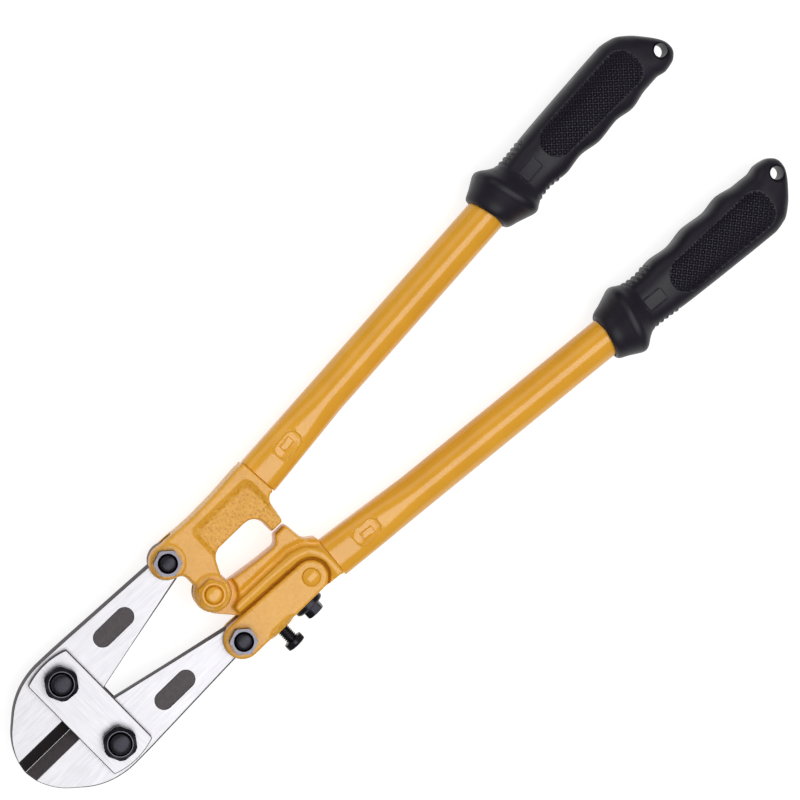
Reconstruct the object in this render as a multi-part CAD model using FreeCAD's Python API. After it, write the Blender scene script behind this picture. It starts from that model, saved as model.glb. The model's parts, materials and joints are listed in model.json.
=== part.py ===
import FreeCAD, Part
import os
from math import cos, sin, tan, acos, radians, pi

# Bolt cutters of the 18 inch size, lying on their side, jaws closed.
# Everything is drawn in the tool frame: x across the tool, y from the jaws to the handles, z through
# its thickness, from the point halfway between the two plate bolts on the middle plane.
# At the end it is all moved to the part's frame, whose origin is the middle of the footprint on the bench.

V = FreeCAD.Vector
UP = V(0, 0, 1)

# ---- driving dimensions, mm and degrees ----
PLATE_CENTRE = V(-3.59, -187.68, 17.1)    # the tool frame's origin, in the part's frame

PLATE_PIN_X = 19.5                       # the two plate bolts are at x = -19.5 and 19.5, y = 0
BLADE_PIN = V(25.55, 73.8, 0)            # pin of the right blade's tang; the left one mirrors it
CENTRE_PIN = V(0, 79.0, 0)               # pin that joins the two handle castings
RIVET = V(26.7, 117.3, 0)                # rivet that the adjusting link hangs on

BLADE_HALF = 4.5                         # half the thickness of the blades and of the casting's tongue
PLATE_IN = 4.55                          # inner face of the side plates
PLATE_OUT = 8.35                         # outer face of the side plates
CHEEK_IN = 4.7                           # inner face of the fork's and the link's cheeks
CHEEK_OUT = 10.0                         # outer face of the fork's and the link's cheeks
RIM_OUT = 8.2                            # outer face of the right casting's low rim

BLADE_HEAD_R = 8.7
FORK_BOSS_R = 9.1
TONGUE_R = 8.5
JAW_TIP_Y = -41.6
EDGE_GAP = 0.1                           # each cutting edge stands this far from the middle

TUBE_R = 9.5
TUBE_WALL = 1.6
TUBE_LENGTH = 256.0
TUBE_SWAGE = 50.0                        # the tube is pressed oval over this length at its lower end
SWAGE_HALF_WIDTH = 10.5
SWAGE_HALF_THICK = 8.2
SPIGOT_LENGTH = 38.0
SPIGOT_GAP = 0.1

LEFT_TUBE_END = V(-25.0, 132.1, 0)       # where the tube's own axis meets its lower end
LEFT_TUBE_TURN = 4.5
RIGHT_TUBE_END = V(29.0, 130.7, 0)
RIGHT_TUBE_TURN = -5.15

# Bolts: corner is how far out the nut's and the head's corners reach, chamfer how much is turned off their
# ends, tail how far the bolt stands out of its nut, and turn the angle of the first corner.
PLATE_BOLT = dict(radius=5.0, across_flats=15.2, corner=8.1, chamfer=1.3,
                  head=6.4, nut=7.6, tail=1.8, turn=55)
BLADE_BOLT = dict(radius=4.0, across_flats=11.8, corner=6.7, chamfer=0.9,
                  head=5.3, nut=5.8, tail=1.6, turn=19)
CENTRE_BOLT = dict(radius=4.0, across_flats=13.0, corner=7.4, chamfer=1.1,
                   head=5.3, nut=5.0, tail=1.4, turn=0)
RUNNING_GAP = 0.08                       # radial gap of a bolt in a piece that turns on it
NUT_GAP = 0.04                           # radial gap of a bolt in a piece that it holds still
BOSS_RING = 0.7                          # how far the fork's bosses stand out of its cheeks

LINK_LOW_R = 9.1                         # the adjusting link's end round the blade's pin
LINK_HIGH_R = 8.1                        # its end round the rivet
RIVET_R = 4.0
RIVET_DOME = 0.9
WEB_IN = 31.4                            # inner and outer face of the link's web
WEB_OUT = 35.0
SCREW_R = 3.0                            # the adjusting screw and the lock screw are both M6
SCREW_TIP_X = 31.0
ADJUSTING_SCREW_Y = 90.7
ADJUSTING_HEAD_X = 42.8
ADJUSTING_PAD_R = 8.4                    # round pad on the web under the adjusting screw
ADJUSTING_PAD_X = 35.6
LOCK_SCREW_Y = 107.6
LOCK_TIP_X = 24.0

LEFT_GRIP_START = 164.0                  # from the tube's lower end to the middle of the grip's mouth
RIGHT_GRIP_START = 166.8
HANG_HOLE = V(10.0, 113.8, 0)            # in the grip's own frame
HANG_HOLE_R = 3.3
HANG_HOLE_HALF_LENGTH = 6.8              # between the flat spots at its two mouths, half of it

# The grip's sections: distance up the grip, outer side, inner side, half thickness.
GRIP_SECTIONS = [
    (13.0, -11.0, 13.5, 12.2), (20.0, -11.2, 13.6, 12.2), (30.0, -11.2, 13.8, 12.3),
    (41.0, -11.8, 15.4, 12.8), (50.3, -12.0, 14.8, 13.0), (63.5, -12.2, 17.2, 13.2),
    (74.3, -12.3, 16.6, 13.2), (85.2, -12.4, 18.7, 13.0), (95.0, -12.4, 17.4, 12.4),
    (103.0, -10.6, 17.4, 11.2), (109.0, -6.0, 18.9, 9.8), (114.0, 0.2, 18.4, 8.6),
    (117.6, 5.6, 16.2, 6.8), (119.4, 9.4, 13.6, 4.0)]
GRIP_SQUARENESS = 3.0                    # the power of the superellipse that each section is
COLLAR_TILT = 9.5
COLLAR_Y = 14.1
COLLAR_R = 17.1


# ---- shape helpers ----
def rounded_outline(corners):
    """A closed wire through (x, y, radius) corners, each one rounded by its radius."""
    points = [V(x, y, 0) for x, y, _ in corners]
    count = len(corners)
    ends = []
    for i, (_, _, radius) in enumerate(corners):
        point = points[i]
        back = (points[i - 1] - point).normalize()
        ahead = (points[(i + 1) % count] - point).normalize()
        if radius == 0:
            ends.append((point, None, point))
            continue
        half = acos(max(-1.0, min(1.0, back.dot(ahead)))) / 2
        reach = radius / tan(half)
        middle = point + (back + ahead).normalize() * (radius / sin(half) - radius)
        ends.append((point + back * reach, middle, point + ahead * reach))
    edges = []
    for i, (start, middle, end) in enumerate(ends):
        if middle is not None:
            edges.append(Part.Arc(start, middle, end).toShape())
        following = ends[(i + 1) % count][0]
        if end.distanceToPoint(following) > 1e-6:
            edges.append(Part.LineSegment(end, following).toShape())
    return Part.Wire(edges)


def slab(wire, low, high):
    """The wire's area, between two heights."""
    lifted = wire.copy()
    lifted.translate(V(0, 0, low))
    return Part.Face(lifted).extrude(V(0, 0, high - low))


def disc(centre, radius, low, high):
    return Part.makeCylinder(radius, high - low, V(centre.x, centre.y, low), UP)


def box(x_low, x_high, y_low, y_high, z_low, z_high):
    return Part.makeBox(x_high - x_low, y_high - y_low, z_high - z_low, V(x_low, y_low, z_low))


def flat_edges(shape, height):
    """The edges that lie in the plane at this height."""
    return [e for e in shape.Edges
            if abs(e.BoundBox.ZMin - height) < 1e-4 and abs(e.BoundBox.ZMax - height) < 1e-4]


def soften(shape, heights, radius):
    """Rounds the edges that lie at these heights."""
    for height in heights:
        shape = shape.makeFillet(radius, flat_edges(shape, height))
    return shape


def break_edges(shape, heights, size):
    """Chamfers the edges that lie at these heights."""
    for height in heights:
        shape = shape.makeChamfer(size, flat_edges(shape, height))
    return shape


def both_faces(cutter):
    """The shape with its mirror image below the middle plane."""
    return [cutter, cutter.mirror(V(0, 0, 0), UP)]


def mirrored_across(shape):
    return shape.mirror(V(0, 0, 0), V(1, 0, 0))


def side_by_side(point):
    """The point's mirror image across the tool's axis."""
    return V(-point.x, point.y, point.z)


def stadium(first, first_radius, second, second_radius):
    """The outline that a belt makes round two discs, as a closed wire."""
    along = second - first
    length = along.Length
    along.normalize()
    side = V(-along.y, along.x, 0)
    lean = (first_radius - second_radius) / length
    rise = (1 - lean * lean) ** 0.5
    left = side * rise + along * lean
    right = side * -rise + along * lean
    top_arc = Part.Arc(second + left * second_radius, second + along * second_radius,
                       second + right * second_radius)
    low_arc = Part.Arc(first + right * first_radius, first - along * first_radius,
                       first + left * first_radius)
    rising = Part.LineSegment(first + left * first_radius, second + left * second_radius)
    falling = Part.LineSegment(second + right * second_radius, first + right * first_radius)
    return Part.Wire([rising.toShape(), top_arc.toShape(), falling.toShape(), low_arc.toShape()])


# ---- fasteners ----
def hexagon(across_flats, height, corner, chamfer, turn):
    """A hexagonal prism standing on z = 0, turned down to the corner radius and chamfered at its top."""
    sharp = across_flats / 2 / cos(pi / 6)
    points = [V(sharp * cos(radians(turn + 60 * i)), sharp * sin(radians(turn + 60 * i)), 0)
              for i in range(7)]
    prism = Part.Face(Part.makePolygon(points)).extrude(V(0, 0, height))
    envelope = Part.makeCylinder(corner, height)
    envelope = envelope.makeChamfer(chamfer, flat_edges(envelope, height))
    return prism.common(envelope)


def hex_nut(size, seat):
    """A nut whose lower face is on z = seat, on the axis x = y = 0."""
    nut = hexagon(size["across_flats"], size["nut"], size["corner"], size["chamfer"], size["turn"])
    bore = Part.makeCylinder(size["radius"] + NUT_GAP, size["nut"])
    nut = nut.cut(bore)
    nut.translate(V(0, 0, seat))
    return nut


def hex_bolt(size, under_head, nut_seat):
    """A bolt with its head at the back, under z = under_head, and its end past the nut."""
    head = hexagon(size["across_flats"], size["head"], size["corner"], size["chamfer"], size["turn"])
    head = head.mirror(V(0, 0, 0), UP)
    head.translate(V(0, 0, under_head))
    end = nut_seat + size["nut"] + size["tail"]
    shank = Part.makeCylinder(size["radius"], end - under_head, V(0, 0, under_head), UP)
    shank = shank.makeChamfer(size["radius"] / 5, flat_edges(shank, end))
    return shank.fuse(head).removeSplitter()


def placed(shape, point):
    moved = shape.copy()
    moved.translate(V(point.x, point.y, 0))
    return moved


# ---- head: blades, side plates and their bolts ----
def left_blade():
    """Jaw below, straight tang above, one forging with drafted sides, ground flat on both faces."""
    face = rounded_outline([
        (-EDGE_GAP, JAW_TIP_Y, 0), (-7.0, -40.0, 25), (-15.7, -35.9, 30), (-28.8, -20.6, 35),
        (-32.5, -7.3, 40), (-32.1, 8.0, 200), (-29.2, 72.0, 0), (-17.0, 72.0, 0), (-EDGE_GAP, -3.3, 0)])
    parting = rounded_outline([
        (-EDGE_GAP, JAW_TIP_Y, 0), (-7.1, -40.3, 25), (-16.2, -36.3, 30), (-29.6, -21.1, 35),
        (-33.4, -7.4, 40), (-33.1, 8.0, 200), (-30.3, 72.0, 0), (-16.0, 72.0, 0), (-EDGE_GAP, -3.3, 0)])
    face.translate(V(0, 0, BLADE_HALF))
    half = Part.makeLoft([parting, face], True, True)
    pin = side_by_side(BLADE_PIN)
    blank = half.fuse(half.mirror(V(0, 0, 0), UP)).removeSplitter()
    head = disc(pin, BLADE_HEAD_R, -BLADE_HALF, BLADE_HALF)
    blank = break_edges(blank, (-BLADE_HALF, BLADE_HALF), 0.3)
    blank = blank.fuse(break_edges(head, (-BLADE_HALF, BLADE_HALF), 0.3)).removeSplitter()
    bevel_width = 6.0
    land = 0.3
    bevel_top = -12.0
    slope = (BLADE_HALF - land) / (bevel_width - EDGE_GAP)
    clear = 1.0
    section = [V(-bevel_width - clear, bevel_top, BLADE_HALF + slope * clear),
               V(clear, bevel_top, BLADE_HALF + slope * clear),
               V(clear, bevel_top, BLADE_HALF - slope * (bevel_width + clear))]
    bevel = Part.Face(Part.makePolygon(section + section[:1])).extrude(V(0, JAW_TIP_Y - 5 - bevel_top, 0))
    stamp = slab(stadium(V(-20.6, 28.0, 0), 4.6, V(-20.6, 42.0, 0), 4.6), BLADE_HALF - 0.7, BLADE_HALF + 1)
    holes = [
        disc(V(-PLATE_PIN_X, 0, 0), PLATE_BOLT["radius"] + RUNNING_GAP, -9, 9),
        disc(pin, BLADE_BOLT["radius"] + RUNNING_GAP, -9, 9),
    ]
    return blank.cut(both_faces(bevel) + [stamp] + holes)


def side_plate():
    """Ground strap that ties the two blades together, on either side of them."""
    corner_x = 28.8
    half_width = 12.2
    low_left = V(-corner_x, -half_width, 0)
    low_right = V(corner_x, -half_width, 0)
    high_right = V(corner_x, half_width, 0)
    high_left = V(-corner_x, half_width, 0)
    edges = [
        Part.LineSegment(low_left, low_right),
        Part.Arc(low_right, V(31.0, 0, 0), high_right),
        Part.LineSegment(high_right, high_left),
        Part.Arc(high_left, V(-31.0, 0, 0), low_left),
    ]
    plate = slab(Part.Wire([e.toShape() for e in edges]), PLATE_IN, PLATE_OUT)
    upright = [e for e in plate.Edges if e.BoundBox.ZLength > 1]
    plate = plate.makeFillet(1.2, upright)
    plate = plate.makeChamfer(0.4, flat_edges(plate, PLATE_OUT))
    for x in (-PLATE_PIN_X, PLATE_PIN_X):
        plate = plate.cut(disc(V(x, 0, 0), PLATE_BOLT["radius"] + NUT_GAP, 0, 20))
    return plate


def plate_fasteners():
    """The two big bolts that the blades turn on, and their nuts."""
    places = [V(-PLATE_PIN_X, 0, 0), V(PLATE_PIN_X, 0, 0)]
    bolts = [placed(hex_bolt(PLATE_BOLT, -PLATE_OUT, PLATE_OUT), p) for p in places]
    nuts = [placed(hex_nut(PLATE_BOLT, PLATE_OUT), p) for p in places]
    return Part.makeCompound(bolts), Part.makeCompound(nuts)


# ---- handle castings ----
def left_casting():
    """Fork: two cheeks round the blade's tang and the other casting's tongue, one piece above them."""
    pin = side_by_side(BLADE_PIN)
    outline = rounded_outline([
        (-33.9, 73.8, 0), (-33.1, 96.0, 40), (-33.5, 110.0, 0), (-34.9, 127.5, 0), (-34.4, 131.3, 1.6),
        (-15.2, 132.8, 1.6), (-13.2, 128.2, 5), (-0.8, 126.2, 1.6), (-0.7, 118.7, 0.8),
        (-12.5, 118.6, 6), (-12.7, 92.4, 7), (-3.4, 87.9, 0), (3.0, 79.0, 0), (-6.0, 75.1, 0),
        (-15.6, 75.1, 3.5), (-18.5, 68.5, 0), (-25.6, 72.0, 0)])
    casting = slab(outline, -CHEEK_OUT, CHEEK_OUT)
    casting = soften(casting, (-CHEEK_OUT, CHEEK_OUT), 0.7)
    boss_face = CHEEK_OUT + BOSS_RING
    bosses = []
    for centre, radius in ((pin, BLADE_HEAD_R), (CENTRE_PIN, FORK_BOSS_R)):
        boss = disc(centre, radius, -boss_face, boss_face)
        bosses.append(soften(boss, (-boss_face, boss_face), 0.6))
    casting = casting.fuse(bosses + [spigot(LEFT_TUBE_END, LEFT_TUBE_TURN, False)])
    depth = 2.2
    floor = rounded_outline([(-25.2, 93.6, 2.5), (9, 93.6, 0), (9, 125.6, 0), (-25.2, 125.6, 2.5)])
    brim = rounded_outline([(-28.8, 91.0, 3.5), (9, 91.0, 0), (9, 128.4, 0), (-28.8, 128.4, 3.5)])
    floor.translate(V(0, 0, CHEEK_OUT - depth))
    brim.translate(V(0, 0, CHEEK_OUT + 0.01))
    panel = Part.makeLoft([floor, brim], True, True)
    slot_top = 84.0
    slot = box(-60, 30, 40, slot_top, -CHEEK_IN, CHEEK_IN)
    sweep = disc(CENTRE_PIN, 12.4, -CHEEK_IN, CHEEK_IN)
    holes = [disc(pin, BLADE_BOLT["radius"] + NUT_GAP, -20, 20),
             disc(CENTRE_PIN, CENTRE_BOLT["radius"] + NUT_GAP, -20, 20)]
    return casting.cut(both_faces(panel) + [slot, sweep] + holes).removeSplitter()


def link_space(margin):
    """The adjusting link's outline, grown by a margin."""
    return stadium(BLADE_PIN, LINK_LOW_R + margin, RIVET, LINK_HIGH_R + margin)


def right_casting():
    """Tongue in the fork, a tang inside the adjusting link, and a ridge round the link."""
    rim = slab(rounded_outline([
        (0.45, 118.4, 0.8), (0.45, 125.8, 1.6), (11.4, 126.9, 5), (15.0, 131.9, 1.2), (34.6, 129.9, 0.8),
        (34.0, 112.0, 0), (24.0, 80.0, 0), (16.0, 81.0, 0), (1.0, 81.0, 0), (1.0, 88.2, 0),
        (3.2, 105.0, 0), (4.1, 115.4, 3)]), -RIM_OUT, RIM_OUT)
    rim = soften(rim, (-RIM_OUT, RIM_OUT), 0.7)
    ridge = slab(rounded_outline([
        (11.0, 81.6, 1.2), (10.8, 119.0, 12), (15.2, 131.9, 1.2), (36.2, 130.0, 0.8), (35.2, 118.0, 0),
        (22.0, 112.0, 0), (21.0, 81.6, 0)]), -CHEEK_OUT, CHEEK_OUT)
    ridge = soften(ridge, (-CHEEK_OUT, CHEEK_OUT), 0.8)
    tongue = slab(rounded_outline([
        (0, 70.5, 0), (7.0, 72.2, 6), (16.6, 80.6, 3), (30.3, 80.6, 0), (30.3, 112.5, 0),
        (33.8, 113.0, 0), (33.8, 122.0, 0), (2.0, 122.0, 0), (4.0, 114.0, 0), (3.2, 105.0, 0),
        (0.9, 88.2, 0), (-1.0, 86.5, 0)]), -BLADE_HALF, BLADE_HALF)
    casting = rim.fuse([ridge, tongue, disc(CENTRE_PIN, TONGUE_R, -BLADE_HALF, BLADE_HALF),
                        spigot(RIGHT_TUBE_END, RIGHT_TUBE_TURN, True)])
    pocket = slab(link_space(1.0), BLADE_HALF, CHEEK_OUT + 1)
    boss_gap = FORK_BOSS_R + 0.9
    boss_room = slab(stadium(CENTRE_PIN, boss_gap, CENTRE_PIN + open_pivot_drift(), boss_gap),
                     BLADE_HALF, CHEEK_OUT + 1)
    low_end = box(-5, 40, 60, 81.2, BLADE_HALF, CHEEK_OUT + 1)
    beside_web = box(30.3, 50, 70, 112.6, -BLADE_HALF - 1, BLADE_HALF + 1)
    head_room = disc(BLADE_PIN, BLADE_HEAD_R + 1.0, -20, 20)
    pivot_gap = CENTRE_BOLT["radius"] + 1.4
    open_pivot = slab(stadium(CENTRE_PIN - open_pivot_drift(), pivot_gap, CENTRE_PIN + open_pivot_drift(),
                              pivot_gap), -9, 9)
    rivet_hole = disc(RIVET, RIVET_R + RUNNING_GAP, -20, 20)
    lock_hole = Part.makeCylinder(SCREW_R + 0.6, 14, V(LOCK_TIP_X - 2, LOCK_SCREW_Y, 0), V(1, 0, 0))
    cuts = [beside_web, head_room, open_pivot, rivet_hole, lock_hole]
    for cutter in [pocket, boss_room, low_end] + groove():
        cuts += both_faces(cutter)
    return casting.cut(cuts).removeSplitter()


def groove():
    """Round-bottomed channel between the right casting's rim and its ridge."""
    radius = 1.9
    height = RIM_OUT + 0.4
    route = [V(9.3, 84.0, height), V(9.9, 118.0, height), V(12.3, 125.2, height), V(17.6, 130.2, height)]
    pieces = [Part.makeSphere(radius, point) for point in route]
    for start, end in zip(route, route[1:]):
        pieces.append(Part.makeCylinder(radius, (end - start).Length, start, end - start))
    return pieces


def open_pivot_drift():
    """How far the centre bolt may wander in the tongue's hole, and which way."""
    reach = 1.9
    return V(reach * cos(radians(20)), reach * sin(radians(20)), 0)


# ---- adjusting link, its rivet and screws ----
def adjusting_link():
    """Channel that carries the right blade's pin: two cheeks and a web on the outer side."""
    outline = link_space(0)
    cheek = slab(outline, CHEEK_IN, CHEEK_OUT)
    cheek = soften(cheek, (CHEEK_OUT,), 0.8)
    web = box(WEB_IN, WEB_OUT, 84.6, 111.6, -CHEEK_IN, CHEEK_IN)
    pad_start = V(WEB_IN, ADJUSTING_SCREW_Y, 0)
    pad = Part.makeCylinder(ADJUSTING_PAD_R, ADJUSTING_PAD_X - WEB_IN, pad_start, V(1, 0, 0))
    pad = pad.makeFillet(0.8, [e for e in pad.Edges if abs(e.BoundBox.XMin - ADJUSTING_PAD_X) < 1e-3])
    link = cheek.fuse([cheek.mirror(V(0, 0, 0), UP), web, pad])
    holes = [disc(BLADE_PIN, BLADE_BOLT["radius"] + NUT_GAP, -20, 20),
             disc(RIVET, RIVET_R + NUT_GAP, -20, 20)]
    for y in (LOCK_SCREW_Y, ADJUSTING_SCREW_Y):
        holes.append(Part.makeCylinder(SCREW_R + RUNNING_GAP, 12, V(27, y, 0), V(1, 0, 0)))
    return link.cut(holes).removeSplitter()


def link_rivet():
    """Plain rivet with a low dome on both ends."""
    top = CHEEK_OUT + RIVET_DOME
    sphere_r = (RIVET_R ** 2 + RIVET_DOME ** 2) / (2 * RIVET_DOME)
    upper = Part.makeSphere(sphere_r, V(RIVET.x, RIVET.y, top - sphere_r))
    rod = disc(RIVET, RIVET_R, 0, top).common(upper.fuse(disc(RIVET, RIVET_R, 0, CHEEK_OUT)))
    return rod.fuse(rod.mirror(V(0, 0, 0), UP)).removeSplitter()


def laid_along_x(shape, start, y):
    """Turns a shape that stands on z = 0 so that it points along x, from x = start."""
    turned = shape.copy()
    turned.rotate(V(0, 0, 0), V(0, 1, 0), 90)
    turned.translate(V(start, y, 0))
    return turned


def adjusting_screw():
    """Plain hexagon screw; its point faces the right casting's tang."""
    head = hexagon(9.6, 3.6, 5.2, 0.7, 0)
    shank = Part.makeCylinder(SCREW_R, ADJUSTING_HEAD_X - SCREW_TIP_X)
    shank = shank.makeChamfer(0.6, flat_edges(shank, 0))
    return laid_along_x(head, ADJUSTING_HEAD_X, ADJUSTING_SCREW_Y).fuse(
        laid_along_x(shank, SCREW_TIP_X, ADJUSTING_SCREW_Y)).removeSplitter()


def lock_screw():
    """Flanged hexagon screw that clamps the link to the tang."""
    flange_start = WEB_OUT + 0.05
    flange_height = 2.7
    flange = Part.makeCylinder(7.5, flange_height)
    flange = flange.makeChamfer(0.7, flat_edges(flange, flange_height))
    head = hexagon(8.4, 6.8, 4.65, 0.5, 15)
    shank = Part.makeCylinder(SCREW_R, flange_start - LOCK_TIP_X)
    return laid_along_x(flange, flange_start, LOCK_SCREW_Y).fuse([
        laid_along_x(head, flange_start, LOCK_SCREW_Y),
        laid_along_x(shank, LOCK_TIP_X, LOCK_SCREW_Y)]).removeSplitter()


# ---- tubes and grips, drawn in the handle's frame ----
# The handle's frame has +x towards the other handle and +y up the tube, from the tube's lower end.
def to_handle(shape, end, turn, mirrored):
    if mirrored:
        shape = mirrored_across(shape)
    shape = shape.copy()
    shape.rotate(V(0, 0, 0), UP, turn)
    shape.translate(end)
    return shape


def cross_ring(y, centre_x, half_width, half_thick):
    """A circle or an ellipse across the tube."""
    if abs(half_width - half_thick) < 1e-6:
        curve = Part.Circle(V(0, 0, 0), UP, half_width)
    else:
        curve = Part.Ellipse(V(0, 0, 0), half_width, half_thick)
    ring = Part.Wire([curve.toShape()])
    ring.rotate(V(0, 0, 0), V(1, 0, 0), -90)
    ring.translate(V(centre_x, y, 0))
    return ring


def tube_form(inset, length):
    """The tube's outer form, or one that lies inside it by the inset: oval first, then round."""
    bulge = SWAGE_HALF_WIDTH - TUBE_R
    foot = cross_ring(0, bulge, SWAGE_HALF_WIDTH - inset, SWAGE_HALF_THICK - inset)
    knee = cross_ring(TUBE_SWAGE, 0, TUBE_R - inset, TUBE_R - inset)
    swage = Part.makeLoft([foot, knee], True, False)
    if length <= TUBE_SWAGE:
        return swage.common(box(-30, 30, 0, length, -30, 30))
    run = Part.makeCylinder(TUBE_R - inset, length - TUBE_SWAGE, V(0, TUBE_SWAGE, 0), V(0, 1, 0))
    return swage.fuse(run)


def handle_tube(end, turn, mirrored):
    tube = tube_form(0, TUBE_LENGTH).cut(tube_form(TUBE_WALL, TUBE_LENGTH))
    return to_handle(tube, end, turn, mirrored)


def spigot(end, turn, mirrored):
    """The casting's shank inside the tube, with a root that reaches down into the casting."""
    root = box(-6.5, 8.5, -6, 0, -7, 7)
    shank = tube_form(TUBE_WALL + SPIGOT_GAP, SPIGOT_LENGTH).fuse(root)
    return to_handle(shank, end, turn, mirrored)


def grip_ring(y, outer, inner, half_thick):
    """A rounded rectangle across the grip, as one smooth closed curve."""
    count = 24
    centre = (outer + inner) / 2
    half_width = (inner - outer) / 2
    power = 2 / GRIP_SQUARENESS
    points = []
    for i in range(count):
        angle = 2 * pi * (i + 0.5) / count
        c, s = cos(angle), sin(angle)
        x = centre + half_width * abs(c) ** power * (1 if c > 0 else -1)
        z = half_thick * abs(s) ** power * (1 if s > 0 else -1)
        points.append(V(x, y, z))
    curve = Part.BSplineCurve()
    curve.interpolate(Points=points, PeriodicFlag=True)
    return Part.Wire([curve.toShape()])


def grip_collar():
    """Flared guard with a slanting rim, turned about an axis that leans to the outer side."""
    profile = [V(0, -13.6, 0), V(11.4, -13.6, 0), V(12.4, -8.5, 0), V(14.6, -4.0, 0),
               V(COLLAR_R - 0.7, -1.2, 0), V(COLLAR_R, 0, 0), V(COLLAR_R - 0.2, 1.2, 0),
               V(13.0, 4.4, 0), V(0, 4.4, 0)]
    collar = Part.Face(Part.makePolygon(profile + profile[:1])).revolve(V(0, 0, 0), V(0, 1, 0), 360)
    collar.rotate(V(0, 0, 0), UP, COLLAR_TILT)
    collar.translate(V(0, COLLAR_Y, 0))
    return collar


def grip(start, end, turn, mirrored):
    """Moulded grip pushed over the tube's end, with a hanging hole through its tip."""
    body = Part.makeLoft([grip_ring(*section) for section in GRIP_SECTIONS], True, False)
    body = body.fuse(grip_collar())
    bore_depth = TUBE_LENGTH - start + 0.1
    bore = Part.makeCylinder(TUBE_R + 0.04, bore_depth + 30, V(0, -30, 0), V(0, 1, 0))
    hole = disc(HANG_HOLE, HANG_HOLE_R, -30, 30)
    spot = disc(HANG_HOLE, HANG_HOLE_R + 1.5, HANG_HOLE_HALF_LENGTH, 30)
    body = body.cut([bore, hole] + both_faces(spot))
    body.translate(V(0, start, 0))
    return to_handle(body, end, turn, mirrored)


# ---- the whole tool ----
def all_parts():
    blade = left_blade()
    plate = side_plate()
    plate_bolts, plate_nuts = plate_fasteners()
    left_pin = side_by_side(BLADE_PIN)
    boss_face = CHEEK_OUT + BOSS_RING
    blade_bolt = hex_bolt(BLADE_BOLT, -boss_face, boss_face)
    link_bolt = hex_bolt(BLADE_BOLT, -CHEEK_OUT, CHEEK_OUT)
    centre_bolt = hex_bolt(CENTRE_BOLT, -boss_face, boss_face)
    return {
        "front_side_plate": plate,
        "rear_side_plate": plate.mirror(V(0, 0, 0), UP),
        "plate_bolts": plate_bolts,
        "plate_nuts": plate_nuts,
        "left_blade": blade,
        "right_blade": mirrored_across(blade),
        "left_handle_casting": left_casting(),
        "left_blade_bolt": placed(blade_bolt, left_pin),
        "left_blade_nut": placed(hex_nut(BLADE_BOLT, boss_face), left_pin),
        "centre_pivot_bolt": placed(centre_bolt, CENTRE_PIN),
        "centre_pivot_nut": placed(hex_nut(CENTRE_BOLT, boss_face), CENTRE_PIN),
        "left_tube": handle_tube(LEFT_TUBE_END, LEFT_TUBE_TURN, False),
        "left_grip": grip(LEFT_GRIP_START, LEFT_TUBE_END, LEFT_TUBE_TURN, False),
        "right_handle_casting": right_casting(),
        "right_tube": handle_tube(RIGHT_TUBE_END, RIGHT_TUBE_TURN, True),
        "right_grip": grip(RIGHT_GRIP_START, RIGHT_TUBE_END, RIGHT_TUBE_TURN, True),
        "adjusting_link": adjusting_link(),
        "link_rivet": link_rivet(),
        "right_blade_bolt": placed(link_bolt, BLADE_PIN),
        "right_blade_nut": placed(hex_nut(BLADE_BOLT, CHEEK_OUT), BLADE_PIN),
        "adjusting_screw": adjusting_screw(),
        "lock_screw": lock_screw(),
    }


os.makedirs("parts", exist_ok=True)
for node, shape in all_parts().items():
    shape.translate(PLATE_CENTRE)
    shape.exportStep("parts/" + node + ".step")
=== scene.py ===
import json
import math

import bpy
import bmesh
import numpy as np
from mathutils import Matrix, Vector, noise
from mathutils.kdtree import KDTree


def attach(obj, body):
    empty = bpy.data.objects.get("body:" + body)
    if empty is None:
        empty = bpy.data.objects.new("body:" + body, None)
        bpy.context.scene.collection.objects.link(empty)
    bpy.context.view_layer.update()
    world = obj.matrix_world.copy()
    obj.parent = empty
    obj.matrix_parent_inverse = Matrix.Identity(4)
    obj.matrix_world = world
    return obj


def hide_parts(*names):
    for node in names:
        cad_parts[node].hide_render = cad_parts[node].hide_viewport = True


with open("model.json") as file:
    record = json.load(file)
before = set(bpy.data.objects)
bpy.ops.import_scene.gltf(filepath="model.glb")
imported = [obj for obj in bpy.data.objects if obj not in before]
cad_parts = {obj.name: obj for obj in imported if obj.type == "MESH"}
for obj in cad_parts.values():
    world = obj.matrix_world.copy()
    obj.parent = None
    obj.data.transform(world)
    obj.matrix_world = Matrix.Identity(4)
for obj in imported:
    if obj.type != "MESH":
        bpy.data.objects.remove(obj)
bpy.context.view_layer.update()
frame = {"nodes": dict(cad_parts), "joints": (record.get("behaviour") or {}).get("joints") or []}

MM = 0.001

# ---- places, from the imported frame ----
JOINTS = {joint["name"]: joint for joint in frame["joints"]}
LEFT_PLATE_PIN = np.array(JOINTS["left_blade_turn"]["pos_m"])
RIGHT_PLATE_PIN = np.array(JOINTS["right_blade_turn"]["pos_m"])
ORIGIN = (LEFT_PLATE_PIN + RIGHT_PLATE_PIN) / 2      # tool frame: between the plate bolts, middle plane

# ---- driving dimensions in the tool frame, mm and degrees, as the CAD has them ----
LEFT_HANDLE = dict(end=(-25.0, 132.1), turn=4.5, side=1, grip_start=164.0)
RIGHT_HANDLE = dict(end=(29.0, 130.7), turn=-5.15, side=-1, grip_start=166.8)
TUBE_R = 9.5
TUBE_WALL = 1.6
TUBE_LENGTH = 256.0
TUBE_SWAGE = 50.0
SWAGE_HALF_WIDTH = 10.5
SWAGE_HALF_THICK = 8.2
HANG_HOLE = (10.0, 113.8)
HANG_HOLE_R = 3.3
BLADE_HALF = 4.5
PLATE_OUT = 8.35
CHEEK_OUT = 10.0
BOSS_OUT = 10.7
PLATE_PIN = 19.5
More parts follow.
